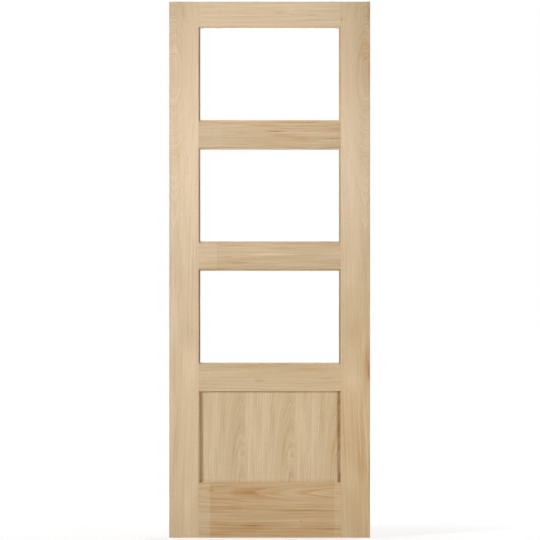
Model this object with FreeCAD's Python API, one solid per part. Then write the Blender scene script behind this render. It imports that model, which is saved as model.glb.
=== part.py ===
import FreeCAD, Part
import os
from collections import namedtuple
from itertools import zip_longest

# Half glazed internal door leaf in oak: three clear lights, one above the other, over a flat panel.
# The frame is X across the leaf from the hinge edge, Y through it from front to back, and Z up.
# The origin is at the foot of the hinge edge, in the middle of the leaf's thickness. Sizes are in mm.

# The leaf
leaf_width = 762.0
leaf_height = 2032.0
leaf_thickness = 35.0

# Frame members. A stile's width includes its lipping.
stile_width = 112.0
top_rail_height = 94.0
cross_rail_height = 100.0
lock_rail_height = 102.0
bottom_rail_height = 209.0
lipping_thickness = 6.0

# The panel's opening. The three lights share equally the height that is left.
panel_opening_height = 346.0

# Eased edges
opening_arris = 0.8
lipping_round = 1.5

# Glazing. The rebate is cut from the back, and its shoulder carries the front of the pane.
glass_thickness = 4.0
glass_clearance = 2.0
rebate_depth = 9.0
bead_showing = 5.5
front_bead_set_back = 7.0
back_bead_set_back = 1.0
bead_round = 1.2

# The panel, loose in a groove so that the oak can move. It stands on the groove's floor.
panel_thickness = 10.0
groove_depth = 10.0
panel_side_clearance = 1.0
panel_top_clearance = 1.0

front_y = -leaf_thickness / 2
back_y = leaf_thickness / 2
glass_front_y = -glass_thickness / 2
glass_back_y = glass_thickness / 2

Outline = namedtuple("Outline", "left right low high")


def upright_block(outline, near_y, far_y):
    """A plain block with this outline as seen from the front, from near_y to far_y."""
    corner = FreeCAD.Vector(outline.left, near_y, outline.low)
    return Part.makeBox(outline.right - outline.left, far_y - near_y, outline.high - outline.low, corner)


def grown(outline, margin):
    """The same outline, moved outwards by margin on all four sides."""
    return Outline(outline.left - margin, outline.right + margin, outline.low - margin, outline.high + margin)


def splayed_block(outline, near_y, far_y, near_margin, far_margin):
    """A block whose outline is grown by one margin at near_y and by another at far_y."""
    near, far = grown(outline, near_margin), grown(outline, far_margin)
    return Part.makeWedge(
        near.left, near_y, near.low, far.low, far.left, near.right, far_y, near.high, far.high, far.right
    )


def eased_rims(front_outline, back_outline):
    """The two shallow splays that take the sharp arris off an opening, at the front and at the back."""
    front = splayed_block(front_outline, front_y, front_y + opening_arris, opening_arris, 0.0)
    back = splayed_block(back_outline, back_y - opening_arris, back_y, 0.0, opening_arris)
    return [front, back]


def light_cutters(opening):
    """What is cut from the frame round a light: the rebate for pane and back beads, and both arrises."""
    rebate = grown(opening, rebate_depth)
    return [upright_block(rebate, glass_front_y, back_y)] + eased_rims(opening, rebate)


def panel_cutters(opening):
    """What is cut from the frame round the panel: the groove that holds it, and both arrises."""
    groove = upright_block(grown(opening, groove_depth), -panel_thickness / 2, panel_thickness / 2)
    return [groove] + eased_rims(opening, opening)


def lay_out():
    """Rails and openings from the floor up. The lights share equally what the rest leaves."""
    lights = ["lower", "middle", "upper"]
    rails = {
        "rail_bottom": bottom_rail_height,
        "rail_lock": lock_rail_height,
        "rail_middle": cross_rail_height,
        "rail_upper": cross_rail_height,
        "rail_top": top_rail_height,
    }
    light_height = (leaf_height - sum(rails.values()) - panel_opening_height) / len(lights)
    openings = {"panel": panel_opening_height, **{light: light_height for light in lights}}
    left, right = stile_width, leaf_width - stile_width
    rail_outlines, opening_outlines, level = {}, {}, 0.0
    for rail, opening in zip_longest(rails, openings):
        rail_outlines[rail] = Outline(left, right, level, level + rails[rail])
        level = rail_outlines[rail].high
        if opening:
            opening_outlines[opening] = Outline(left, right, level, level + openings[opening])
            level = opening_outlines[opening].high
    return rail_outlines, opening_outlines


def frame_member(outline, cutters):
    """A stile or rail of the leaf's full thickness, with the rebates, grooves and arrises that meet it."""
    return upright_block(outline, front_y, back_y).cut(cutters)


def edge_nearest(shape, middle):
    """The shape's edge whose middle lies nearest to a point."""
    return min(shape.Edges, key=lambda edge: edge.CenterOfMass.distanceToPoint(middle))


def edge_lipping(outer_x, inner_x):
    """The solid oak strip glued to a stile's outer edge, with its two outer arrises rounded."""
    outline = Outline(min(outer_x, inner_x), max(outer_x, inner_x), 0.0, leaf_height)
    strip = upright_block(outline, front_y, back_y)
    arrises = [
        edge_nearest(strip, FreeCAD.Vector(outer_x, y, leaf_height / 2)) for y in (front_y, back_y)
    ]
    return strip.makeFillet(lipping_round, arrises)


def corners(outline):
    """An outline's corners as (x, z), clockwise from the top left one as seen from the front."""
    return [
        (outline.left, outline.high),
        (outline.right, outline.high),
        (outline.right, outline.low),
        (outline.left, outline.low),
    ]


def bead_frame(outline, width, glass_y, face_y):
    """The four beads that line an outline, by the side of the light they lie on.

    Each is a square strip from the glass to face_y, mitred at both ends where it meets its
    neighbours, with the arris that shows rounded from end to end.
    """
    outer, inner = corners(outline), corners(grown(outline, -width))
    beads = {}
    for side, (start, end) in {"head": (0, 1), "right": (1, 2), "sill": (2, 3), "left": (3, 0)}.items():
        mitred = [outer[start], outer[end], inner[end], inner[start], outer[start]]
        section = Part.makePolygon([FreeCAD.Vector(x, glass_y, z) for x, z in mitred])
        strip = Part.Face(section).extrude(FreeCAD.Vector(0, face_y - glass_y, 0))
        showing_x = (inner[start][0] + inner[end][0]) / 2
        showing_z = (inner[start][1] + inner[end][1]) / 2
        arris = edge_nearest(strip, FreeCAD.Vector(showing_x, face_y, showing_z))
        beads[side] = strip.makeFillet(bead_round, [arris])
    return beads


def glazed_light(name, opening):
    """A light's pane and its eight beads: four glued in front of the pane, four pinned behind it."""
    sight = grown(opening, rebate_depth - glass_clearance)
    pieces = {f"pane_{name}": upright_block(sight, glass_front_y, glass_back_y)}
    front = bead_frame(opening, bead_showing, glass_front_y, front_y + front_bead_set_back)
    back = bead_frame(
        grown(opening, rebate_depth), rebate_depth + bead_showing, glass_back_y, back_y - back_bead_set_back
    )
    for side in front:
        pieces[f"bead_front_{name}_{side}"] = front[side]
        pieces[f"bead_back_{name}_{side}"] = back[side]
    return pieces


def flat_panel(opening):
    """The flat panel. It stands on the groove's floor and clears it at the sides and at the top."""
    outline = Outline(
        opening.left - groove_depth + panel_side_clearance,
        opening.right + groove_depth - panel_side_clearance,
        opening.low - groove_depth,
        opening.high + groove_depth - panel_top_clearance,
    )
    return upright_block(outline, -panel_thickness / 2, panel_thickness / 2)


def door_leaf():
    """Every piece of the leaf, by name."""
    rails, openings = lay_out()
    panel_opening = openings.pop("panel")
    cutters = panel_cutters(panel_opening)
    for opening in openings.values():
        cutters += light_cutters(opening)

    left_stile = Outline(lipping_thickness, stile_width, 0.0, leaf_height)
    right_stile = Outline(leaf_width - stile_width, leaf_width - lipping_thickness, 0.0, leaf_height)
    pieces = {
        "stile_left": frame_member(left_stile, cutters),
        "stile_right": frame_member(right_stile, cutters),
        "lipping_left": edge_lipping(0.0, lipping_thickness),
        "lipping_right": edge_lipping(leaf_width, leaf_width - lipping_thickness),
        "panel_flat": flat_panel(panel_opening),
    }
    for rail, outline in rails.items():
        pieces[rail] = frame_member(outline, cutters)
    for name, opening in openings.items():
        pieces.update(glazed_light(name, opening))
    return pieces


os.makedirs("parts", exist_ok=True)
for node, shape in door_leaf().items():
    solid = shape.Solids[0]
    print(f"{node}: {len(shape.Solids)} solid, {solid.Volume / 1000:.1f} cm3, valid {solid.isValid()}")
    solid.exportStep(f"parts/{node}.step")
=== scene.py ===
import math
from dataclasses import dataclass, replace

import bpy
import numpy as np
from mathutils import Euler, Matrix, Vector


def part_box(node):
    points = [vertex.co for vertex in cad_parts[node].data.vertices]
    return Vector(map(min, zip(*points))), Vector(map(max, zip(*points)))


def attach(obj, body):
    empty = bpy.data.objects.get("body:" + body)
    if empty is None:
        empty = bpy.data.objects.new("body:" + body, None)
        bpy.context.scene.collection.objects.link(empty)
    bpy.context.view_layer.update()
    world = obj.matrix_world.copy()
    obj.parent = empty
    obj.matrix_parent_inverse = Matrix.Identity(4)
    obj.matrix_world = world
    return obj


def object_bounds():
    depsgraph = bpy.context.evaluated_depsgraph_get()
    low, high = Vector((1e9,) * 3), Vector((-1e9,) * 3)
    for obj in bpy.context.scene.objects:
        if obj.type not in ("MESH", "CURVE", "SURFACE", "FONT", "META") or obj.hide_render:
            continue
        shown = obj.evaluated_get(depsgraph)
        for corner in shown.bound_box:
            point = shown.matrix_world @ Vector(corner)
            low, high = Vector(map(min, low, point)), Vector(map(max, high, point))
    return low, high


bl_info = {
    "name": "Half glazed oak door",
    "version": (1, 0, 0),
    "blender": (4, 5, 0),
    "location": "View3D > Sidebar > Door",
    "description": "Finishes the pieces of a half glazed oak door leaf and sets up its studio",
    "category": "Object",
}

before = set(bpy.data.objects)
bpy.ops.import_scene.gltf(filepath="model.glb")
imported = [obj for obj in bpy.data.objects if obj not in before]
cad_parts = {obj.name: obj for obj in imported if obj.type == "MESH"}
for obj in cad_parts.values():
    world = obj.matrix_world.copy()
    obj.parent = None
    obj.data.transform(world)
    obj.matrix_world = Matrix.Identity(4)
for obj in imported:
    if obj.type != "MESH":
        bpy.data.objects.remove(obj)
cad_low, cad_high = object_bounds()

LIGHTS = ("upper", "middle", "lower")
SIDES = ("head", "sill", "left", "right")
FACES = ("front", "back")
MM = 0.001
PER_METRE = 1000.0
LEAF_WIDTH = cad_high.x * PER_METRE
LEAF_HEIGHT = cad_high.z * PER_METRE
HALF_THICKNESS = cad_high.y * PER_METRE
BETWEEN_RINGS = 0.45  # darkness of the wood between a ring's two lines, from 0 to 1


def linear(hex_colour):
    """An sRGB hex colour as linear red, green and blue."""
    channels = [int(hex_colour[i : i + 2], 16) / 255 for i in (0, 2, 4)]
    return tuple(c / 12.92 if c <= 0.04045 else ((c + 0.055) / 1.055) ** 2.4 for c in channels)


def colour_property(name, description, hex_colour):
    """A colour that a user can change, with its default as sRGB hex."""
    return bpy.props.FloatVectorProperty(
        name=name, description=description, subtype="COLOR", size=3, min=0.0, max=1.0,
        default=linear(hex_colour),
    )


def watts_property(name, watts):
    """The power of a lamp, which a user can change."""
    return bpy.props.FloatProperty(name=name, description="Power in watts", default=watts, min=0.0)


class DoorOak(bpy.types.PropertyGroup):
    """Colours and grain of the oak."""

    pale: colour_property("Pale oak", "Lightest ground of the veneer", "E8D1B5")
    honey: colour_property("Honey oak", "Middle tone of the veneer", "CBB290")
    tan: colour_property("Tan oak", "Darker ground, as on the bottom rail", "BF996E")
    brown: colour_property("Brown grain", "Darkest lines of the figure", "8E6A46")
    rose: colour_property("Rosy cast", "Tint of the pinkish patches", "FFFEFD")
    olive: colour_property("Olive cast", "Tint of the greenish patches", "FEFFFC")
    pore: colour_property("Open pores", "Shaded bottom of the long open pores", "6F5138")
    core: colour_property("Core timber", "Softwood core that shows on the top and bottom edges", "E0C896")
    ring_spacing: bpy.props.FloatProperty(
        name="Ring spacing", description="Distance between growth rings, in mm",
        default=2.4, min=1.0, max=20.0,
    )
    pore_length: bpy.props.FloatProperty(
        name="Pore length", description="Length of an open pore along the grain, in mm",
        default=14.0, min=2.0, max=60.0,
    )
    veneer_thickness: bpy.props.FloatProperty(
        name="Veneer thickness", description="Face veneer that shows at the edges of the leaf, in mm",
        default=0.8, min=0.3, max=4.0,
    )


class DoorGlazing(bpy.types.PropertyGroup):
    """Sizes and colours of what holds the glass."""

    glass: colour_property("Clear float glass", "Faint green of clear glass", "FEFFFE")
    silicone: colour_property("Clear silicone", "The fillet that beds the pane", "CCC6B9")
    filler: colour_property("Oak filler", "Stopping over the punched bead pins", "A97F50")
    fillet: bpy.props.FloatProperty(
        name="Silicone fillet", description="Width of the silicone fillet on the glass, in mm",
        default=0.6, min=0.2, max=3.0,
    )
    pin_radius: bpy.props.FloatProperty(
        name="Pin radius", description="Radius of a stopped bead pin, in mm",
        default=1.1, min=0.5, max=3.0,
    )
    pin_pitch: bpy.props.FloatProperty(
        name="Pin pitch", description="Greatest distance between bead pins, in mm",
        default=150.0, min=50.0, max=400.0,
    )


class DoorStage(bpy.types.PropertyGroup):
    """Camera and light."""

    camera_distance: bpy.props.FloatProperty(
        name="Camera distance", description="From the leaf's face", unit="LENGTH",
        default=12.0, min=3.0, max=40.0,
    )
    view_width: bpy.props.FloatProperty(
        name="View width", description="Width of the picture at the leaf's face", unit="LENGTH",
        default=2.0466,
    )
    left_lamp: watts_property("Left lamp", 388.0)
    right_lamp: watts_property("Right lamp", 80.0)
    low_lamp: watts_property("Low lamp", 2.8)
    front_lamp: watts_property("Front lamp", 1.2)
    top_lamp: watts_property("Top lamp", 35.0)
    back_left_lamp: watts_property("Back left lamp", 45.0)
    back_right_lamp: watts_property("Back right lamp", 90.0)
    fill: bpy.props.FloatProperty(
        name="Fill", description="Strength of the light from all round", default=0.03, min=0.0
    )


def add_node(tree, kind, *inputs, sockets=None, **settings):
    """Adds a shader node. Inputs fill its sockets in order, and sockets by name or by number.

    A node or an output is linked, None is passed over and anything else becomes the socket's own value.
    """
    made = tree.nodes.new("ShaderNode" + kind)
    for name, value in settings.items():
        setattr(made, name, value)
    for key, value in list(enumerate(inputs)) + list((sockets or {}).items()):
        if value is None:
            continue
        if isinstance(value, bpy.types.Node):
            value = next(output for output in value.outputs if output.enabled)
        if isinstance(value, bpy.types.NodeSocket):
            tree.links.new(value, made.inputs[key])
        else:
            made.inputs[key].default_value = value
    return made


def new_tree(name):
    """A new material with an empty tree."""
    material = bpy.data.materials.new(name)
    material.use_nodes = True
    material.node_tree.nodes.clear()
    return material, material.node_tree


def set_stops(ramp, stops):
    """Gives a colour ramp these stops, each a position and a colour or a grey."""
    elements = ramp.color_ramp.elements
    while len(elements) < len(stops):
        elements.new(1.0)
    for element, (position, value) in zip(elements, stops):
        element.position = position
        element.color = (value, value, value, 1.0) if isinstance(value, float) else (*value, 1.0)


@dataclass
class Cut:
    """How one board or leaf of veneer was cut from the log.

    Sizes and places are in mm, as x from the leaf's left edge and z from its foot.
    """

    eye: tuple                    # the middle of its figure
    seed: float                   # picks the chance pattern
    level: bool = False           # the grain runs across the leaf and not up it
    mirrored: bool = False
    heart_depth: float = 40.0     # how far in front of the leaf's face the rings' centre lies at the eye
    heart_fall: float = 30.0      # how much further off it gets, far from the eye
    reach: float = 300.0          # distance along the grain at which three quarters of that fall is done
    blunting: float = 60.0        # distance from the eye within which the fall has hardly begun
    clear_radius: float = 0.0     # no rings show nearer to the heart than this
    wander: float = 1.0           # how much the grain strays
    sway: tuple = (0.0, -1.0, 0.0)  # the grain moves sideways, from one distance to another, by the third
    spacing: float = 1.0          # share of the usual ring spacing
    shade: float = 0.5            # mean darkness, from 0, pale, to 1, brown
    tint: tuple = (1.0, 1.0, 1.0)  # red, green and blue of the whole board, over those of its tones
    figure: float = 0.5           # contrast of the rings
    ragged: float = 4.0           # how far the rings' edges stray, in mm
    streak: float = 0.8           # contrast of the fine streaks
    tone: float = 0.5             # contrast of the broad patches
    slip: tuple | None = None     # start and width of veneer leaves laid side by side, all with one figure
    bold: tuple = ()              # rings that stand out: radius, half width and darkness
    spots: tuple = ()             # soft oval patches: x, z, half width, half height and darkness
    strips: tuple = ()            # bands with hard edges: from x, to x and darkness

    def turn(self):
        """The turn that lays the grain along Z."""
        return Euler((0.0, -math.pi / 2 if self.level else 0.0, 0.0))

    def on_board(self, x, z):
        """A place or size on the leaf, turned to lie across, through and along the board."""
        return self.turn().to_matrix() @ Vector((-x if self.mirrored else x, 0.0, z))


def board_coordinates(tree, cut, veneer_thickness):
    """Object coordinates as mm in the board: X across the grain, Y through it and Z along it, from the eye.

    Where leaves are laid side by side, X starts again at each leaf, and each leaf lies one veneer's
    thickness deeper in the log than the one before.
    """
    scale = Vector((-PER_METRE if cut.mirrored else PER_METRE, PER_METRE, PER_METRE))
    place = -cut.on_board(*cut.eye)
    board = add_node(tree, "Mapping", add_node(tree, "TexCoord").outputs["Object"], place, cut.turn(), scale)
    axes = add_node(tree, "SeparateXYZ", board)
    across, through, along = axes.outputs
    if cut.slip:
        start, width = cut.slip
        from_start = add_node(tree, "Math", across, cut.eye[0] - start, operation="ADD")
        in_leaf = add_node(tree, "Math", from_start, width, operation="FLOORED_MODULO")
        leaf_start = add_node(tree, "Math", from_start, in_leaf, operation="SUBTRACT")
        deeper = veneer_thickness / width
        through = add_node(tree, "Math", leaf_start, deeper, through, operation="MULTIPLY_ADD")
        across = add_node(tree, "Math", in_leaf, start - cut.eye[0], operation="ADD")
    begin, end, shift = cut.sway
    sideways = add_node(tree, "MapRange", along, begin, end, 0.0, shift, interpolation_type="SMOOTHSTEP")
    across = add_node(tree, "Math", across, sideways, operation="ADD")
    return add_node(tree, "CombineXYZ", across, through, along)


def grain_noise(tree, board, across, along, seed, detail=2.0):
    """Noise drawn out along the grain: across and along are the sizes of its lumps, in mm."""
    stretched = add_node(tree, "Mapping", board, sockets={"Scale": (1 / across, 1 / across, 1 / along)})
    return add_node(
        tree, "TexNoise", sockets={"Vector": stretched, "W": seed, "Scale": 1.0, "Detail": detail},
        noise_dimensions="4D",
    )


def growth_rings(tree, board, cut, ring_spacing):
    """Growth rings as the face cuts them, from about 0 on a ring's pale line to about 1 on its dark one.

    The rings are circles round a heart line in front of the leaf's face. Its distance from the face is the
    depth at the eye plus the fall times the hyperbolic tangent of the distance from the eye over the reach,
    so the face cuts closed ovals at the eye, nested arches beyond them and straight lines far away. The
    distance from the eye is blunted near it, so that the ovals have round sides.
    """
    wander = grain_noise(tree, board, across=70.0, along=330.0, seed=cut.seed).outputs["Color"]
    stray = Vector((20.0, 12.0, 0.0)) * cut.wander  # in mm, across and through the board
    wander_by = add_node(tree, "VectorMath", wander, stray, -stray / 2, operation="MULTIPLY_ADD")
    place = add_node(tree, "SeparateXYZ", add_node(tree, "VectorMath", board, wander_by, operation="ADD"))
    blunted = add_node(tree, "CombineXYZ", place.outputs["Z"], cut.blunting)
    away = add_node(tree, "VectorMath", blunted, operation="LENGTH").outputs["Value"]
    blunt = cut.blunting / cut.reach
    from_eye = add_node(tree, "Math", away, 1 / cut.reach, -blunt, operation="MULTIPLY_ADD")
    share = add_node(tree, "Math", from_eye, operation="TANH")
    below = add_node(tree, "Math", share, cut.heart_fall, cut.heart_depth, operation="MULTIPLY_ADD")
    from_face = add_node(tree, "Math", place.outputs["Y"], HALF_THICKNESS, operation="ADD")
    depth = add_node(tree, "Math", below, from_face, operation="ADD")
    from_heart = add_node(tree, "CombineXYZ", place.outputs["X"], depth)
    radius = add_node(tree, "VectorMath", from_heart, operation="LENGTH").outputs["Value"]
    width = ring_spacing * cut.spacing
    ragged = grain_noise(tree, board, across=9.0, along=60.0, seed=cut.seed + 3.0)
    uneven = add_node(tree, "Math", ragged, cut.ragged, radius, operation="MULTIPLY_ADD")
    ringed = add_node(tree, "Math", uneven, cut.clear_radius + cut.ragged / 2, operation="MAXIMUM")
    # Wide and narrow rings follow each other in spells of some six years.
    spell, spell_strength = 6, 2.2
    spells = add_node(tree, "Math", ringed, 1 / (spell * width), operation="MULTIPLY")
    years = add_node(tree, "TexNoise", sockets={"W": spells, "Detail": 1.0}, noise_dimensions="1D")
    wide_years = add_node(tree, "Math", years, spell_strength, operation="MULTIPLY")
    count = add_node(tree, "Math", ringed, 1 / width, wide_years, operation="MULTIPLY_ADD")
    # Each ring starts with its dark line, fades to the wood between and ends on its pale line.
    profile = add_node(tree, "ValToRGB", add_node(tree, "Math", count, operation="FRACT"))
    profile.color_ramp.interpolation = "EASE"
    set_stops(
        profile, [(0.0, 0.5), (0.12, 0.85), (0.4, 0.6), (0.62, BETWEEN_RINGS), (0.84, 0.04), (0.94, 0.1)]
    )
    rings = profile.outputs["Color"]
    for bold_radius, half_width, added in cut.bold:
        from_line = add_node(tree, "Math", uneven, bold_radius + cut.ragged / 2, operation="SUBTRACT")
        distance = add_node(tree, "Math", from_line, operation="ABSOLUTE")
        line = add_node(tree, "MapRange", distance, half_width, half_width / 2, 0.0, added)
        rings = add_node(tree, "Math", rings, line, operation="ADD")
    return rings


def add_spots(tree, darkness, streaks, board, cut):
    """Adds soft oval patches to a darkness. Their rims are drawn out along the streaks of the grain."""
    rim_stray = 2.2              # how far the streaks move a rim, in half sizes of the spot
    mean_stray = rim_stray / 2   # a noise's mean is a half
    for x, z, half_width, half_height, added in cut.spots:
        middle = cut.on_board(x - cut.eye[0], z - cut.eye[1])
        half = cut.on_board(half_width, half_height)
        scale = (1 / abs(half.x), 0.0, 1 / abs(half.z))
        shift = (-middle.x * scale[0], 0.0, -middle.z * scale[2])
        place = add_node(tree, "Mapping", board, sockets={"Location": shift, "Scale": scale})
        out = add_node(tree, "VectorMath", place, operation="LENGTH").outputs["Value"]
        ragged_out = add_node(tree, "Math", streaks, rim_stray, out, operation="MULTIPLY_ADD")
        inside = add_node(
            tree, "MapRange", ragged_out, 1 + mean_stray, mean_stray, 0.0, added,
            interpolation_type="SMOOTHSTEP",
        )
        darkness = add_node(tree, "Math", darkness, inside, operation="ADD")
    return darkness


def add_strips(tree, darkness, strips):
    """Adds bands with hard edges, which run from one x to another over the whole height of a member."""
    across = add_node(tree, "SeparateXYZ", add_node(tree, "TexCoord").outputs["Object"]).outputs["X"]
    for start, end, added in strips:
        middle, half = (start + end) / 2, (end - start) / 2
        inside = add_node(tree, "Math", across, middle * MM, half * MM, operation="COMPARE")
        darkness = add_node(tree, "Math", inside, added, darkness, operation="MULTIPLY_ADD")
    return darkness


def oak_colour(tree, cut, oak):
    """Planed white oak, cut like this: its colour, and how deep its open pores are, from 0 to 1.

    A board's darkness adds up its mean shade, its rings, its fine streaks, its broad patches, its spots and
    its strips. The rings stand out more where the patches are dark. Each noise has a seed of its own, a
    fixed step from the cut's.
    """
    board = board_coordinates(tree, cut, oak.veneer_thickness)
    rings = growth_rings(tree, board, cut, oak.ring_spacing)
    patches = grain_noise(tree, board, across=42.0, along=420.0, seed=cut.seed + 7.0, detail=1.0)
    streaks = grain_noise(tree, board, across=5.0, along=190.0, seed=cut.seed + 11.0, detail=4.0)
    weakest, strongest = 0.35, 1.25
    strength = add_node(tree, "MapRange", patches, 0.3, 0.65, weakest, strongest)
    from_mean = add_node(tree, "Math", rings, BETWEEN_RINGS, operation="SUBTRACT")
    figured = add_node(tree, "Math", from_mean, strength, operation="MULTIPLY")
    ground = cut.shade - (cut.streak + cut.tone) / 2
    darkness = add_node(tree, "Math", figured, cut.figure, ground, operation="MULTIPLY_ADD")
    darkness = add_node(tree, "Math", streaks, cut.streak, darkness, operation="MULTIPLY_ADD")
    darkness = add_node(tree, "Math", patches, cut.tone, darkness, operation="MULTIPLY_ADD")
    darkness = add_spots(tree, darkness, streaks, board, cut)
    darkness = add_strips(tree, darkness, cut.strips)
    tones = add_node(tree, "ValToRGB", darkness)
    set_stops(tones, [(0.0, oak.pale), (0.5, oak.honey), (0.75, oak.tan), (1.0, oak.brown)])

    cast_places = grain_noise(tree, board, across=30.0, along=170.0, seed=cut.seed + 23.0)
    cast = add_node(tree, "ValToRGB", cast_places)
    olive, rose = (np.multiply(tone, cut.tint) for tone in (oak.olive, oak.rose))
    set_stops(cast, [(0.35, olive), (0.65, rose)])
    tinted = add_node(
        tree, "Mix", sockets={0: 1.0, 6: tones, 7: cast}, data_type="RGBA", blend_type="MULTIPLY"
    )

    # Pores are 0.3 mm wide in the wood, and drawn wider so that they show. Most lie along the dark lines.
    fine = grain_noise(tree, board, across=0.5, along=oak.pore_length, seed=cut.seed + 17.0, detail=1.0)
    pores = add_node(tree, "MapRange", fine, 0.6, 0.72)
    in_rings = add_node(tree, "Math", rings, 0.5, 0.15, operation="MULTIPLY_ADD")
    pore_share = add_node(tree, "Math", pores, in_rings, operation="MULTIPLY")
    colour = add_node(tree, "Mix", sockets={0: pore_share, 6: tinted, 7: (*oak.pore, 1.0)}, data_type="RGBA")
    return colour, pore_share


def dry_wood(tree, colour, pores):
    """Bare wood: a dull dry surface, pitted where its pores are open."""
    relief = add_node(tree, "Math", pores, -1.0, operation="MULTIPLY")
    bump = add_node(tree, "Bump", sockets={"Strength": 0.5, "Distance": 0.15 * MM, "Height": relief})
    shader = add_node(
        tree, "BsdfPrincipled",
        sockets={"Base Color": colour, "Roughness": 0.62, "Specular IOR Level": 0.35, "Normal": bump},
    )
    add_node(tree, "OutputMaterial", shader)


def near_face(tree, axis, half_size, depth):
    """1 within this depth of the leaf's two faces along an axis, and 0 further in. Sizes are in mm."""
    places = add_node(tree, "SeparateXYZ", add_node(tree, "TexCoord").outputs["Object"])
    middle = (cad_low[axis] + cad_high[axis]) / 2
    from_middle = add_node(tree, "Math", places.outputs[axis], middle, operation="SUBTRACT")
    distance = add_node(tree, "Math", from_middle, operation="ABSOLUTE")
    return add_node(tree, "Math", distance, (half_size - depth) * MM, operation="GREATER_THAN")


def solid_oak(name, cut, oak):
    """Solid white oak, sanded and left bare: pale honey, with brown lines and short open pores."""
    material, tree = new_tree(name)
    dry_wood(tree, *oak_colour(tree, cut, oak))
    return material


def oak_veneer(name, cut, oak):
    """White oak veneer on a softwood core, sanded and left bare.

    It gives the eye a pale honey ground with brown rings, fine straight streaks, short open pores and a
    dull, dry surface. The core shows between the veneers at the head and foot of the leaf, with its
    growth rings as fine straight lines.
    """
    material, tree = new_tree(name)
    face, pores = oak_colour(tree, cut, oak)
    end_skin = 0.05  # mm, so that only the faces at the head and foot count
    ends = near_face(tree, 2, LEAF_HEIGHT / 2, end_skin)
    veneers = near_face(tree, 1, HALF_THICKNESS, oak.veneer_thickness)
    core_share = add_node(tree, "Math", ends, veneers, operation="SUBTRACT", use_clamp=True)
    core_rings = (60.0, 420.0, 60.0)  # per metre: about 2.4 mm apart through the leaf, and long across it
    place = add_node(tree, "TexCoord").outputs["Object"]
    core_board = add_node(tree, "Mapping", place, sockets={"Scale": core_rings})
    core_grain = add_node(tree, "TexNoise", sockets={"Vector": core_board, "Scale": 1.0, "Detail": 3.0})
    core_tone = add_node(tree, "MapRange", core_grain, 0.3, 0.7, 0.0, 0.55)
    core = add_node(
        tree, "Mix", sockets={0: core_tone, 6: (*oak.core, 1.0), 7: (*oak.tan, 1.0)}, data_type="RGBA"
    )
    colour = add_node(tree, "Mix", sockets={0: core_share, 6: face, 7: core}, data_type="RGBA")
    dry_wood(tree, colour, pores)
    return material


def lipped_oak(name, face_cut, lipping_cut, oak):
    """Solid oak under the face veneer, which laps over the lipping's front and back."""
    material, tree = new_tree(name)
    face, face_pores = oak_colour(tree, face_cut, oak)
    lipping, lipping_pores = oak_colour(tree, lipping_cut, oak)
    veneers = near_face(tree, 1, HALF_THICKNESS, oak.veneer_thickness)
    colour = add_node(tree, "Mix", sockets={0: veneers, 6: lipping, 7: face}, data_type="RGBA")
    pores = add_node(tree, "Mix", sockets={0: veneers, 2: lipping_pores, 3: face_pores}, data_type="FLOAT")
    dry_wood(tree, colour, pores)
    return material


def clear_glass(name, glazing):
    """Clear 4 mm float glass, with a faint green cast.

    Light goes straight through it to dull surfaces, so it throws no shadow and lights the wood beside it
    no more than open air does.
    """
    material, tree = new_tree(name)
    glass = add_node(
        tree, "BsdfPrincipled",
        sockets={
            "Base Color": (*glazing.glass, 1.0), "Roughness": 0.0, "IOR": 1.52, "Transmission Weight": 1.0,
        },
    )
    open_air = add_node(tree, "BsdfTransparent", (*glazing.glass, 1.0))
    path = add_node(tree, "LightPath").outputs
    lights_wood = add_node(tree, "Math", path["Is Shadow Ray"], path["Is Diffuse Ray"], operation="MAXIMUM")
    add_node(tree, "OutputMaterial", add_node(tree, "MixShader", lights_wood, glass, open_air))
    return material


def clear_silicone(name, glazing):
    """Clear silicone, tooled with a wet finger: cloudy, with a soft uneven gloss."""
    material, tree = new_tree(name)
    place = add_node(tree, "TexCoord").outputs["Object"]
    ripple_length = 12 * MM
    ripple = add_node(tree, "TexNoise", sockets={"Vector": place, "Scale": 1 / ripple_length, "Detail": 1.0})
    bump = add_node(tree, "Bump", sockets={"Strength": 0.2, "Distance": 0.05 * MM, "Height": ripple})
    cloudy = add_node(tree, "MapRange", ripple, 0.35, 0.65, 0.35, 0.55)
    shader = add_node(
        tree, "BsdfPrincipled",
        sockets={
            "Base Color": (*glazing.silicone, 1.0), "Roughness": cloudy, "IOR": 1.41,
            "Transmission Weight": 0.25, "Normal": bump,
        },
    )
    add_node(tree, "OutputMaterial", shader)
    return material


def oak_filler(name, glazing):
    """Oak-coloured filler, sanded level: chalky, a little darker than the wood and faintly mottled."""
    material, tree = new_tree(name)
    place = add_node(tree, "TexCoord").outputs["Object"]
    grit_size = 0.8 * MM
    grit = add_node(tree, "TexNoise", sockets={"Vector": place, "Scale": 1 / grit_size, "Detail": 3.0})
    light = add_node(tree, "MapRange", grit, 0.3, 0.7, 0.8, 1.15)
    colour = add_node(
        tree, "Mix", sockets={0: 1.0, 6: (*glazing.filler, 1.0), 7: light},
        data_type="RGBA", blend_type="MULTIPLY",
    )
    bump = add_node(tree, "Bump", sockets={"Strength": 0.3, "Distance": 0.05 * MM, "Height": grit})
    shader = add_node(
        tree, "BsdfPrincipled", sockets={"Base Color": colour, "Roughness": 0.8, "Normal": bump}
    )
    add_node(tree, "OutputMaterial", shader)
    return material


def finish_node(node, material):
    """Gives a CAD piece its one material."""
    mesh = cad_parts[node].data
    mesh.materials.clear()
    mesh.materials.append(material)


def new_piece(name, vertices, faces, material):
    """A mesh object at the origin from arrays of vertices and faces."""
    mesh = bpy.data.meshes.new(name)
    mesh.from_pydata(vertices.tolist(), [], faces.tolist())
    mesh.materials.append(material)
    piece = bpy.data.objects.new(name, mesh)
    bpy.context.scene.collection.objects.link(piece)
    return piece


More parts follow.
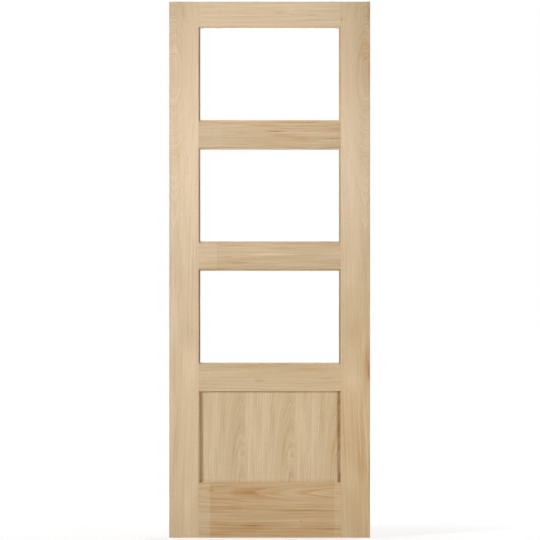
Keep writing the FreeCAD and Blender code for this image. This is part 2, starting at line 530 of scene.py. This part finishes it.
def fillet_loop(light, face, width):
    """Vertices and faces of a silicone fillet, in metres: a concave profile carried round the sight opening.

    At an angle a along the profile's arc, a point stands in from the bead by width times 1 minus sine a and
    out from the glass by width times 1 minus cosine a. The profile's last point is the corner itself. Each
    point is carried to the four corners of the opening, which is mitred there.
    """
    head, sill, left, right = (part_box(f"bead_{face}_{light}_{side}") for side in SIDES)
    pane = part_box("pane_" + light)
    outward = -1.0 if face == "front" else 1.0
    glass = pane[0].y if face == "front" else pane[1].y
    middle = np.array([left[1].x + right[0].x, sill[1].z + head[0].z]) / 2
    half = np.array([right[0].x - left[1].x, head[0].z - sill[1].z]) / 2
    size = width * MM
    off_glass = 0.02 * MM  # keeps the fillet's own faces just clear of the glass and the beads
    points = 9
    angle = np.linspace(0.0, math.pi / 2, points)
    inward = np.append(size * (1 - np.sin(angle)), 0.0)
    raised = np.append(size * (1 - np.cos(angle)), 0.0)
    corners = np.array([(-1, -1), (1, -1), (1, 1), (-1, 1)])
    flat = middle + corners[:, None, :] * (half - inward[None, :, None] - off_glass)
    depth = np.broadcast_to(glass + outward * (raised + off_glass), flat.shape[:2])
    vertices = np.stack([flat[..., 0], depth, flat[..., 1]], axis=-1).reshape(-1, 3)
    index = np.arange(flat.shape[0] * flat.shape[1]).reshape(flat.shape[:2])
    onward, along = np.roll(index, -1, axis=0), np.roll(index, -1, axis=1)
    faces = np.stack([index, onward, np.roll(onward, -1, axis=1), along], axis=-1).reshape(-1, 4)
    return vertices, faces[:, ::-1] if face == "front" else faces


def squashed_balls(centres, radius, half_height):
    """Vertices and faces of balls flattened along Y at these centres, in metres.

    At a latitude b and a longitude a, a point stands radius times cosine b times cosine a along X,
    half_height times sine b along Y and radius times cosine b times sine a along Z from the centre. Each
    pole is one point.
    """
    rows_of_points, points_round = 7, 16
    latitude = np.linspace(-math.pi / 2, math.pi / 2, rows_of_points)[1:-1]
    longitude = np.linspace(0.0, 2 * math.pi, points_round, endpoint=False)
    b, a = np.meshgrid(latitude, longitude, indexing="ij")
    out = radius * np.cos(b)
    around = np.stack([out * np.cos(a), half_height * np.sin(b), out * np.sin(a)], axis=-1)
    poles = np.array([(0.0, -half_height, 0.0), (0.0, half_height, 0.0)])
    ball = np.concatenate([around.reshape(-1, 3), poles])
    index = np.arange(b.size).reshape(b.shape)
    turned = np.roll(index, -1, axis=1)
    quads = np.stack([index[:-1], index[1:], turned[1:], turned[:-1]], axis=-1).reshape(-1, 4)
    low, high = np.full(len(longitude), b.size), np.full(len(longitude), b.size + 1)
    # The caps are triangles that meet at a pole, so each quad is split in two to go with them.
    caps = np.concatenate([
        np.stack([index[0], turned[0], low], axis=-1), np.stack([turned[-1], index[-1], high], axis=-1)
    ])
    triangles = np.concatenate([quads[:, [0, 1, 2]], quads[:, [0, 2, 3]], caps])
    vertices = (centres[:, None, :] + ball[None]).reshape(-1, 3)
    faces = (triangles[None] + len(ball) * np.arange(len(centres))[:, None, None]).reshape(-1, 3)
    return vertices, faces


def pin_stoppings(light, radius, pitch):
    """Vertices and faces of the filler over the pins of one light's back beads, evenly spaced on each."""
    dome = 0.15 * MM  # how far the filler stands out of the bead
    centres = []
    for side in SIDES:
        low, high = (np.array(corner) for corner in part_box(f"bead_back_{light}_{side}"))
        along = 0 if side in ("head", "sill") else 2
        count = math.ceil((high[along] - low[along]) / (pitch * MM))
        row = np.tile((low + high) / 2, (count, 1))
        row[:, 1] = high[1]
        row[:, along] = low[along] + (high[along] - low[along]) * (np.arange(count) + 0.5) / count
        centres.append(row)
    return squashed_balls(np.concatenate(centres), radius * MM, dome)


def joint_lines(left, right):
    """Hairlines at both ends of a rail, where it butts the stiles."""
    hairline, darker = 0.7, 0.25
    return ((left, left + hairline, darker), (right - hairline, right, darker))


def member_cuts():
    """How each member's veneer was cut. The two stiles are leaves of one flitch, opened like a book."""
    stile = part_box("stile_left")
    left = stile[1].x * PER_METRE
    right = LEAF_WIDTH - left
    joints = joint_lines(left, right)
    stile_left = Cut(
        eye=(16, 1754), seed=1.0, heart_depth=40.0, heart_fall=67.0, reach=230.0, blunting=150.0,
        clear_radius=41.8, wander=0.5, sway=(-1150.0, -1760.0, 22.0), spacing=1.2, shade=0.17, figure=0.18,
        ragged=3.2, streak=0.65, tone=0.4,
        bold=((47.2, 0.5, -0.4), (48.8, 0.6, -0.6), (50.6, 0.5, -0.3)),
        spots=(
            # darker and paler along the stile, from head to foot
            (40, 2025, 90, 90, 0.1), (56, 1850, 500, 560, 0.11), (56, 1290, 400, 300, -0.07),
            (56, 840, 200, 220, -0.05), (56, 100, 300, 700, 0.12), (56, 60, 200, 260, 0.06),
            # brown streaks at the head, the middle of the ovals, and a pin knot
            (0, 1990, 12, 60, 0.17), (52, 1985, 8, 50, 0.12), (16, 1754, 10, 45, 0.08), (85, 592, 5, 4, 0.5),
            # brown and pale patches below the middle light
            (72, 776, 60, 90, 0.14), (14, 640, 30, 160, 0.16), (30, 360, 24, 240, 0.1),
            (85, 640, 60, 110, -0.08), (97, 143, 40, 80, -0.08),
        ),
    )
    return {
        "stile_left": stile_left,
        "stile_right": replace(
            stile_left, eye=(LEAF_WIDTH - 16, 1746), mirrored=True, clear_radius=43.3,
            bold=((45.9, 0.7, -1.1), (47.8, 0.6, 0.3), (50.4, 0.6, 0.5), (53.3, 0.6, 0.5), (56.2, 0.6, 0.4)),
            spots=(
                # darker and paler along the stile, from head to foot
                (690, 2025, 160, 80, 0.08), (706, 1850, 500, 560, 0.2), (706, 1290, 400, 300, -0.05),
                (706, 620, 300, 800, 0.22), (706, 150, 300, 600, 0.3), (706, 60, 200, 260, 0.06),
                # brown along the outer edge: partly the browner solid oak there, partly painted shade on the
                # rounded arris, which turns away from the left lamp
                (762, 1985, 22, 110, 0.36), (762, 1800, 7, 160, 0.15), (762, 900, 14, 1400, 0.2),
                (748, 900, 32, 320, 0.14),
                # brown round the ovals, on the inner edge and at the top rail's joint
                (746, 1752, 34, 110, 0.08), (744, 1826, 24, 18, 0.2), (740, 1860, 50, 300, 0.12),
                (652, 1740, 14, 360, 0.08), (656, 1965, 12, 14, 0.3),
                # brown and pale patches further down
                (700, 784, 56, 90, 0.14), (752, 650, 32, 160, 0.24), (757, 625, 9, 60, 0.2),
                (735, 265, 60, 100, 0.12), (750, 262, 18, 90, 0.12),
                (665, 1600, 24, 160, -0.06), (675, 985, 50, 80, -0.12), (700, 600, 64, 80, -0.15),
                (674, 227, 48, 90, -0.14),
            ),
        ),
        "rail_top": Cut(
            eye=(430, 2060), seed=5.0, level=True, heart_depth=30.0, heart_fall=20.0, reach=200.0,
            spacing=1.2, shade=0.3, figure=0.15, wander=1.8, streak=0.7, strips=joints,
            spots=(
                (153, 2012, 40, 8, 0.12), (417, 1990, 27, 10, 0.2), (541, 1981, 36, 7, 0.2),
                (547, 1964, 62, 5, 0.2), (258, 1940, 127, 4, 0.15),
                (460, 2000, 38, 20, -0.1), (190, 1985, 140, 120, -0.06),
            ),
        ),
        "rail_upper": Cut(
            eye=(470, 1610), seed=9.0, level=True, heart_depth=60.0, heart_fall=20.0, reach=200.0,
            spacing=1.4, shade=0.57, figure=0.18, streak=0.66, wander=1.6, tint=(0.95, 0.965, 1.0),
            strips=joints + ((left, 200, -0.05),),
            spots=(
                (363, 1563, 80, 5, 0.2), (409, 1541, 64, 4, 0.4), (430, 1524, 60, 7, 0.16),
                (500, 1513, 60, 6, 0.2), (640, 1525, 16, 24, 0.1), (275, 1533, 55, 4, 0.15),
                (600, 1560, 200, 140, -0.14),
            ),
        ),
        "rail_middle": Cut(
            eye=(500, 985), seed=13.0, level=True, heart_depth=60.0, heart_fall=20.0, reach=200.0,
            spacing=1.4, shade=0.43, figure=0.2, tint=(0.99, 0.99, 1.0),
            strips=joints + ((left, 180, -0.12),),
            spots=(
                (251, 1108, 78, 5, 0.25), (430, 1097, 108, 7, 0.25), (219, 1064, 34, 5, 0.2),
                (260, 1043, 80, 7, 0.28), (300, 1022, 115, 4, 0.08), (400, 1075, 130, 9, -0.25),
            ),
        ),
        "rail_lock": Cut(
            eye=(380, 710), seed=17.0, level=True, heart_depth=60.0, heart_fall=20.0, reach=200.0,
            spacing=1.4, shade=0.35, figure=0.25, tint=(0.98, 0.985, 1.0), strips=joints,
            spots=(
                (270, 647, 135, 3.5, 0.25), (527, 636, 120, 3, 0.2), (578, 627, 28, 5, 0.15),
                (227, 607, 87, 4, 0.12), (342, 595, 32, 8, 0.22), (602, 605, 45, 4, 0.2),
                (500, 606, 300, 200, 0.1), (155, 621, 23, 7, -0.2),
            ),
        ),
        "rail_bottom": Cut(
            eye=(700, 171), seed=21.0, level=True, heart_depth=7.0, heart_fall=60.0, reach=667.0,
            spacing=4.9, wander=0.3, shade=0.6, figure=0.2, ragged=4.5, streak=0.78, tone=0.2,
            bold=((19.4, 1.2, 0.7), (24.0, 3.5, -0.7), (14.0, 4.0, -0.6)),
            strips=joints + ((left, 155, -0.14), (627, right, -0.1)),
            spots=(
                # a pin knot, then brown and pale streaks along the upper and the lower half
                (500, 62, 5, 4, 0.4),
                (155, 180, 24, 8, 0.2), (304, 172, 60, 9, 0.1), (225, 171, 28, 6, -0.06),
                (240, 175, 260, 60, 0.1), (370, 100, 700, 60, -0.03),
                (320, 46, 66, 9, 0.15), (586, 54, 38, 4, 0.12), (198, 54, 55, 7, 0.1),
                (290, 40, 200, 40, 0.08), (482, 43, 40, 12, -0.15),
            ),
        ),
        "panel_flat": Cut(
            eye=(277, 200), seed=25.0, heart_depth=5.9, heart_fall=98.0, reach=600.0, spacing=3.4,
            wander=0.3, slip=(100.8, 188.0), shade=0.345, figure=0.22, tint=(0.96, 0.98, 1.0),
            ragged=10.0, streak=0.3, tone=0.16,
            bold=((53.3, 0.6, -0.6), (43.5, 0.6, -0.5), (39.0, 0.5, -0.5)),
            # Painted shade: the wood is darkened beside the stiles, where they shade the recessed panel,
            # deepening the lamps' own shadow there. The last leaf is a little browner throughout.
            strips=((115, 121, 0.22), (115, 127, 0.2), (641, right, 0.12), (636, right, 0.08),
                    (477, right, 0.05)),
            spots=(
                # a pale ground left of each leaf's arches and a brown one under them, then their tips, then
                # a painted shade along the panel's foot, where the bottom rail shades the recess
                (120, 380, 40, 400, -0.16), (175, 380, 26, 400, -0.16), (262, 380, 46, 400, 0.13),
                (207, 440, 10, 130, 0.12), (246, 325, 20, 70, 0.07), (265, 307, 8, 40, -0.25),
                (276, 235, 14, 20, 0.2), (195, 209, 400, 16, 0.15),
            ),
        ),
    }


class DOOR_OT_frame_veneer(bpy.types.Operator):
    """Finish the stiles, rails and panel in oak veneer, each with its own cut"""

    bl_idname = "door.frame_veneer"
    bl_label = "Stiles, rails and panel"

    def execute(self, context):
        for node, cut in member_cuts().items():
            finish_node(node, oak_veneer("oak_veneer_" + node, cut, context.scene.door_oak))
        return {"FINISHED"}


class DOOR_OT_lippings(bpy.types.Operator):
    """Finish the solid oak lippings of the two outer edges"""

    bl_idname = "door.lippings"
    bl_label = "Edge lippings"

    def execute(self, context):
        cuts = member_cuts()
        shades = {"left": 0.45, "right": 0.5}
        for side, shade in shades.items():
            face = cuts["stile_" + side]
            solid = Cut(face.eye, seed=41.0, heart_depth=90.0, heart_fall=5.0, shade=shade, figure=0.3)
            edge = lipped_oak("solid_oak_lipping_" + side, face, solid, context.scene.door_oak)
            finish_node("lipping_" + side, edge)
        return {"FINISHED"}


class DOOR_OT_beads(bpy.types.Operator):
    """Finish the mitred glazing beads in solid oak, with the grain along each bead"""

    bl_idname = "door.beads"
    bl_label = "Glazing beads"

    def execute(self, context):
        oak = context.scene.door_oak
        # The front beads' shades carry painted light: the upright ones are darker, painting the shade where
        # the stiles' step shadows them, and the head ones paler, painting out the rails' shadow on them. The
        # back beads keep the wood's own shades.
        shades = {"front": (0.2, 0.4, 0.8, 0.72), "back": (0.35, 0.4, 0.45, 0.5)}
        for face in FACES:
            for side, shade in zip(SIDES, shades[face]):
                level = side in ("head", "sill")
                stick = Cut(
                    eye=(0, 0), seed=31.0, level=level, heart_depth=90.0, heart_fall=5.0,
                    shade=shade, figure=0.2,
                )
                planed = solid_oak(f"solid_oak_bead_{face}_{side}", stick, oak)
                for light in LIGHTS:
                    finish_node(f"bead_{face}_{light}_{side}", planed)
        return {"FINISHED"}


class DOOR_OT_panes(bpy.types.Operator):
    """Finish the three panes in clear float glass"""

    bl_idname = "door.panes"
    bl_label = "Glass panes"

    def execute(self, context):
        glass = clear_glass("clear_float_glass", context.scene.door_glazing)
        for light in LIGHTS:
            finish_node("pane_" + light, glass)
        return {"FINISHED"}


class DOOR_OT_silicone(bpy.types.Operator):
    """Run the fillets of silicone that bed the panes"""

    bl_idname = "door.silicone"
    bl_label = "Silicone fillets"

    def execute(self, context):
        glazing = context.scene.door_glazing
        silicone = clear_silicone("clear_silicone", glazing)
        for light in LIGHTS:
            for face in FACES:
                vertices, faces = fillet_loop(light, face, glazing.fillet)
                piece = new_piece(f"silicone_{face}_{light}", vertices, faces, silicone)
                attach(piece, "root")
        return {"FINISHED"}


class DOOR_OT_pins(bpy.types.Operator):
    """Stop the punched pins of the back beads with filler"""

    bl_idname = "door.pins"
    bl_label = "Stopped bead pins"

    def execute(self, context):
        glazing = context.scene.door_glazing
        filler = oak_filler("oak_filler", glazing)
        for light in LIGHTS:
            vertices, faces = pin_stoppings(light, glazing.pin_radius, glazing.pin_pitch)
            piece = new_piece("stopped_pins_" + light, vertices, faces, filler)
            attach(piece, "root")
        return {"FINISHED"}


def white_to_the_eye(tree, seen, otherwise):
    """Mixes two shaders: one for what the eye sees, straight or in gloss or glass, and one for light."""
    path = add_node(tree, "LightPath").outputs
    seen_directly = add_node(tree, "Math", path["Is Camera Ray"], path["Is Glossy Ray"], operation="MAXIMUM")
    seen_at_all = add_node(tree, "Math", seen_directly, path["Is Transmission Ray"], operation="MAXIMUM")
    return add_node(tree, "MixShader", seen_at_all, otherwise, seen)


def white_floor(name):
    """A plain white floor that shows white where it is lit and a soft grey where the object shades it."""
    material, tree = new_tree(name)
    near, far = 1.0, 5.0  # metres from the leaf: between them the lamps' light on the floor dies away
    near_glow = 0.57      # what the floor adds of its own where the lamps light it fully
    place = add_node(tree, "TexCoord").outputs["Object"]
    away = add_node(tree, "VectorMath", place, operation="LENGTH").outputs["Value"]
    glow = add_node(tree, "MapRange", away, near, far, near_glow, 1.0)
    own_white = add_node(tree, "Emission", (*linear("FFFFFF"), 1.0), glow)
    paper = add_node(tree, "BsdfDiffuse", (*linear("BCBCBC"), 1.0))
    lit_white = add_node(tree, "AddShader", own_white, paper)
    bounce = add_node(tree, "BsdfDiffuse", (*linear("A09E99"), 1.0))
    add_node(tree, "OutputMaterial", white_to_the_eye(tree, lit_white, bounce))
    return material


def add_lamp(name, place, target, size, watts, spread=180.0, in_gloss=True, colour=(1.0, 1.0, 1.0)):
    """A soft area lamp that points at target and that the camera doesn't see.

    Size is its width and height in metres. A spread under 180 degrees narrows its light.
    """
    lamp = bpy.data.lights.new(name, "AREA")
    lamp.shape = "RECTANGLE"
    lamp.size, lamp.size_y = size
    lamp.energy = watts
    lamp.spread = math.radians(spread)
    lamp.color = colour
    holder = bpy.data.objects.new(name, lamp)
    holder.location = place
    holder.rotation_euler = (Vector(target) - Vector(place)).to_track_quat("-Z", "Y").to_euler()
    holder.visible_camera = False
    holder.visible_glossy = in_gloss
    bpy.context.scene.collection.objects.link(holder)


def round_the_leaf(azimuth, distance, height):
    """A point at this bearing from the middle of the leaf: 0 is in front of it, 90 to its right."""
    turn = math.radians(azimuth)
    middle = (cad_low + cad_high) / 2
    return Vector((middle.x + distance * math.sin(turn), middle.y - distance * math.cos(turn), height))


class DOOR_OT_stage(bpy.types.Operator):
    """Set up the white floor, the lamps, the world and the camera"""

    bl_idname = "door.stage"
    bl_label = "Studio"

    def execute(self, context):
        scene = context.scene
        values = scene.door_stage
        middle = (cad_low + cad_high) / 2

        reach = 40.0
        corners = reach * np.array([(-1, -1, 0), (1, -1, 0), (1, 1, 0), (-1, 1, 0)])
        paper = white_floor("white_paper_floor")
        floor = new_piece("studio_floor", corners, np.array([(0, 1, 2, 3)]), paper)

        world = bpy.data.worlds.new("studio")
        scene.world = world
        world.use_nodes = True
        tree = world.node_tree
        tree.nodes.clear()
        white = add_node(tree, "Background", (*linear("FFFFFF"), 1.0), 1.0)
        fill = add_node(tree, "Background", (*linear("FFFEFC"), 1.0), values.fill)
        add_node(tree, "OutputWorld", white_to_the_eye(tree, white, fill))

        add_lamp(
            "lamp_left", round_the_leaf(azimuth=-56, distance=7.0, height=2.4), middle,
            size=(1.0, 0.8), watts=values.left_lamp,
        )
        add_lamp(
            "lamp_right", round_the_leaf(azimuth=50, distance=7.0, height=2.2), middle,
            size=(1.0, 2.0), watts=values.right_lamp,
        )
        # Two narrow lamps lift the leaf's foot and its upper half.
        add_lamp(
            "lamp_low", round_the_leaf(azimuth=52, distance=3.5, height=0.55), (middle.x, 0.0, 0.45),
            size=(0.4, 0.6), watts=values.low_lamp, spread=40.0, colour=linear("FFF5DC"),
        )
        add_lamp(
            "lamp_front", round_the_leaf(azimuth=0, distance=2.4, height=1.95), (middle.x, 0.0, 1.7),
            size=(0.6, 0.4), watts=values.front_lamp, spread=40.0, in_gloss=False,
        )
        overhead = middle + Vector((0.0, 0.0, 3.5))
        add_lamp("lamp_top", overhead, middle, size=(1.2, 0.4), watts=values.top_lamp)
        add_lamp(
            "lamp_back_left", round_the_leaf(azimuth=-140, distance=3.5, height=1.5), middle,
            size=(1.0, 2.2), watts=values.back_left_lamp,
        )
        add_lamp(
            "lamp_back_right", round_the_leaf(azimuth=140, distance=3.5, height=1.5), middle,
            size=(1.0, 2.2), watts=values.back_right_lamp,
        )

        camera = bpy.data.cameras.new("camera")
        camera.sensor_width = 36.0
        camera.lens = camera.sensor_width * values.camera_distance / values.view_width
        camera.clip_end = 200.0
        holder = bpy.data.objects.new("camera", camera)
        right, down = 0.0014, 0.0011  # where the picture's middle lies from the leaf's, in metres
        holder.location = (middle.x + right, cad_low.y - values.camera_distance, middle.z - down)
        holder.rotation_euler = (math.pi / 2, 0.0, 0.0)
        scene.collection.objects.link(holder)
        scene.camera = holder
        scene.view_settings.view_transform = "Standard"
        return {"FINISHED"}


class DOOR_PT_panel(bpy.types.Panel):
    """Lists the door's pieces and their values"""

    bl_label = "Half glazed oak door"
    bl_idname = "DOOR_PT_panel"
    bl_space_type = "VIEW_3D"
    bl_region_type = "UI"
    bl_category = "Door"

    def draw(self, context):
        for group in (context.scene.door_oak, context.scene.door_glazing, context.scene.door_stage):
            box = self.layout.box()
            for name in group.__annotations__:
                box.prop(group, name)
        for operator in OPERATORS:
            self.layout.operator(operator.bl_idname)


OPERATORS = (
    DOOR_OT_frame_veneer, DOOR_OT_lippings, DOOR_OT_beads, DOOR_OT_panes, DOOR_OT_silicone, DOOR_OT_pins,
    DOOR_OT_stage,
)
GROUPS = {"door_oak": DoorOak, "door_glazing": DoorGlazing, "door_stage": DoorStage}


def register():
    for cls in (*GROUPS.values(), *OPERATORS, DOOR_PT_panel):
        bpy.utils.register_class(cls)
    for name, group in GROUPS.items():
        setattr(bpy.types.Scene, name, bpy.props.PointerProperty(type=group))


def unregister():
    for name in GROUPS:
        delattr(bpy.types.Scene, name)
    for cls in reversed((*GROUPS.values(), *OPERATORS, DOOR_PT_panel)):
        bpy.utils.unregister_class(cls)


def main():
    register()
    bpy.ops.door.frame_veneer()
    bpy.ops.door.lippings()
    bpy.ops.door.beads()
    bpy.ops.door.panes()
    bpy.ops.door.silicone()
    bpy.ops.door.pins()
    bpy.ops.door.stage()


if __name__ == "__main__":
    main()
